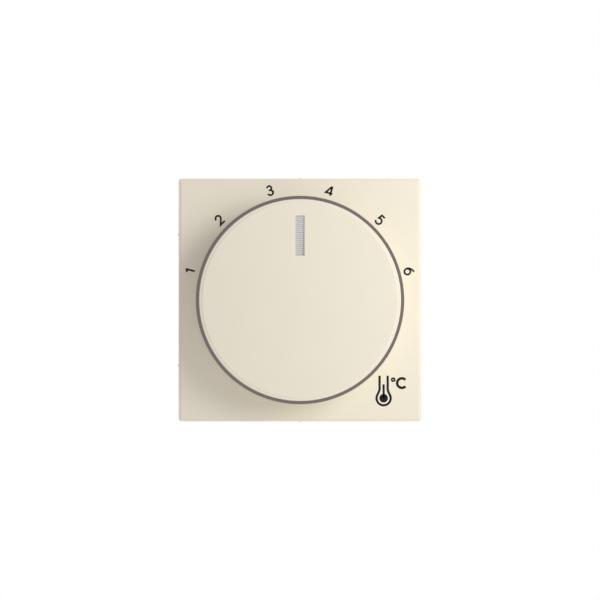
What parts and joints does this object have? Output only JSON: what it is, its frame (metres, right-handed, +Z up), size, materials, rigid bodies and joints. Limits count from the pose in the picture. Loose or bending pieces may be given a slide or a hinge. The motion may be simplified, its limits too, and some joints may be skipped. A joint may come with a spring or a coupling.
{
  "type": "room thermostat",
  "caption": "Flush-mounted room thermostat: square cover plate, large round setting knob with an indicator window, and a round insert with claws behind.",
  "frame": {"origin": "centre of the support plate, on the wall surface", "axes": "+Y into the wall, along the knob axis; +Z up; +X to the right as seen from the front"},
  "size_m": [0.0654, 0.0448, 0.0654],
  "materials": {
    "cream_plastic": "fine satin moulding",
    "ring_plastic": "satin smoke grey",
    "clear_plastic": "translucent light guide",
    "zinc_steel": "zinc plated",
    "steel": "pressed steel",
    "spring_steel": "bright spring steel",
    "blue_plastic": "moulded",
    "red_plastic": "moulded",
    "white_plastic": "moulded",
    "grey_plastic": "thermoset moulding",
    "bimetal": "rolled strip",
    "silver": "polished contact",
    "brass": "drawn",
    "magnet": "sintered ferrite",
    "ceramic": "fired ceramic",
    "board": "solder mask",
    "red_film": "dipped film",
    "blue_film": "lacquered",
    "black_plastic": "moulded"
  },
  "bodies": {
    "chassis": {"cover_plate": "cream_plastic", "trim_ring": "ring_plastic", "light_ring": "clear_plastic", "cover_screw_left": "zinc_steel", "cover_screw_right": "zinc_steel", "limit_pin_low": "blue_plastic", "limit_pin_high": "red_plastic", "wave_washer": "spring_steel", "lever_pivot_pin": "steel", "setting_spring": "spring_steel", "fixed_contact": "silver", "fixed_contact_bar": "brass", "snap_magnet": "magnet", "bimetal_bracket": "zinc_steel", "heater_resistor": "ceramic", "circuit_board": "board", "indicator_lamp": "red_plastic", "dropping_capacitor": "red_film", "series_resistor": "blue_film", "rectifier_diode": "black_plastic", "housing_base": "grey_plastic", "housing_lid": "white_plastic", "housing_screw_lower": "zinc_steel", "housing_screw_upper": "zinc_steel", "support_plate": "zinc_steel", "claw_pin_left": "steel", "claw_pin_right": "steel", "terminal_1": "brass", "terminal_screw_1": "zinc_steel", "terminal_2": "brass", "terminal_screw_2": "zinc_steel", "terminal_3": "brass", "terminal_screw_3": "zinc_steel", "terminal_4": "brass", "terminal_screw_4": "zinc_steel"},
    "spindle": {"spindle": "white_plastic", "retaining_clip": "spring_steel", "cam": "white_plastic"},
    "knob": {"knob": "cream_plastic", "light_guide": "clear_plastic", "knob_hub_spring": "spring_steel"},
    "lever": {"setting_lever": "steel"},
    "bimetal": {"bimetal_strip": "bimetal", "moving_contact": "silver"},
    "claw_left": {"claw_left": "steel"},
    "claw_right": {"claw_right": "steel"},
    "claw_screw_left": {"claw_screw_left": "zinc_steel"},
    "claw_screw_right": {"claw_screw_right": "zinc_steel"}
  },
  "joints": [
    {"name": "knob_turn", "type": "hinge", "parent": "chassis", "child": "spindle", "pos_m": [0, 0, 0], "axis": [0, 1, 0], "range_deg": [-78, 78]},
    {"name": "knob_pull", "type": "slide", "parent": "spindle", "child": "knob", "axis": [0, -1, 0], "range_m": [0, 0.012]},
    {"name": "lever_tip", "type": "hinge", "parent": "chassis", "child": "lever", "pos_m": [-0.0135, 0, -0.0095], "axis": [0, 1, 0], "range_deg": [-6.4, 6.4], "deforming": ["setting_spring"]},
    {"name": "bimetal_bend", "type": "hinge", "parent": "chassis", "child": "bimetal", "pos_m": [-0.014, 0, -0.0155], "axis": [0, 1, 0], "range_deg": [0, 2.3], "stiffness_Nm_per_rad": 0.2},
    {"name": "claw_screw_left_turn", "type": "hinge", "parent": "chassis", "child": "claw_screw_left", "pos_m": [-0.0222, 0, 0], "axis": [0, 1, 0], "range_deg": [0, 360]},
    {"name": "claw_left_swing", "type": "hinge", "parent": "chassis", "child": "claw_left", "pos_m": [-0.0254, 0.0029, 0], "axis": [0, 0, 1], "range_deg": [0, 10]},
    {"name": "claw_screw_right_turn", "type": "hinge", "parent": "chassis", "child": "claw_screw_right", "pos_m": [0.0222, 0, 0], "axis": [0, 1, 0], "range_deg": [0, 360]},
    {"name": "claw_right_swing", "type": "hinge", "parent": "chassis", "child": "claw_right", "pos_m": [0.0254, 0.0029, 0], "axis": [0, 0, -1], "range_deg": [0, 10]}
  ],
  "couplings": [
    {"joint": "lever_tip", "follows": "knob_turn", "ratio": 0.0813},
    {"joint": "claw_left_swing", "follows": "claw_screw_left_turn", "ratio": 0.02777},
    {"joint": "claw_right_swing", "follows": "claw_screw_right_turn", "ratio": 0.02777}
  ]
}
